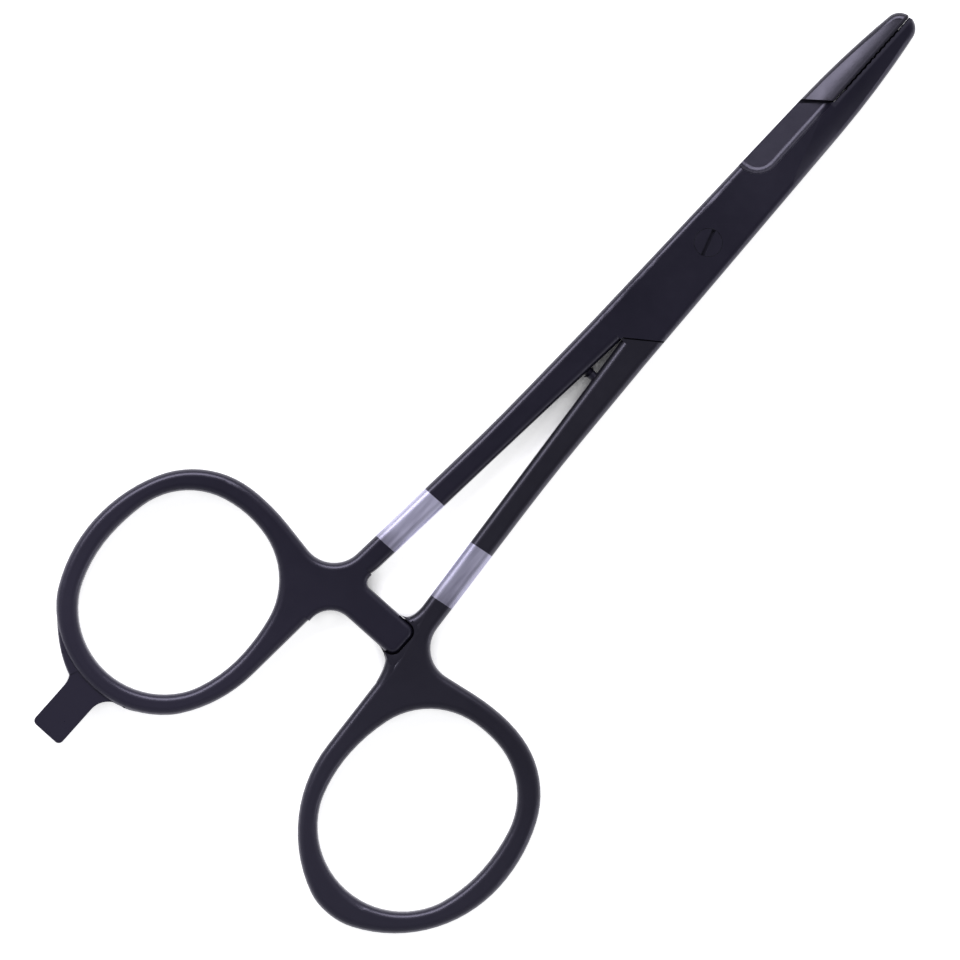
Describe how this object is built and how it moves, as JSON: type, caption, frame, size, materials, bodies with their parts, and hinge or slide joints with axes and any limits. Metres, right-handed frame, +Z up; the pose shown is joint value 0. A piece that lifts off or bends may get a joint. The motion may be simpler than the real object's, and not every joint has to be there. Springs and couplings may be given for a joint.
{
  "type": "hemostat forceps",
  "caption": "Slim scissor-clamp hemostat forceps with finger rings, ratchet arms, short scissor blades and a screwdriver tab.",
  "frame": {"origin": "on the pivot axis, at the underside of the joint, which is also the face that rests on a table", "axes": "+Y along the instrument to the jaw tip, +X to the right ring's side, +Z up out of the screw head"},
  "size_m": [0.0724, 0.147, 0.0048],
  "materials": {
    "coated_steel": "black coated, satin, with a bare-steel band on each shank",
    "coated_screw": "black coated, satin",
    "coated_needle": "black coated, satin"
  },
  "bodies": {
    "lower": {"lower_half": "coated_steel", "pivot_screw": "coated_screw"},
    "upper": {"upper_half": "coated_steel", "eye_cleaner_pin": "coated_needle"}
  },
  "joints": [
    {"name": "pivot", "type": "hinge", "parent": "lower", "child": "upper", "pos_m": [0, 0, 0.0024], "axis": [0, 0, -1], "range_deg": [0, 60]}
  ]
}
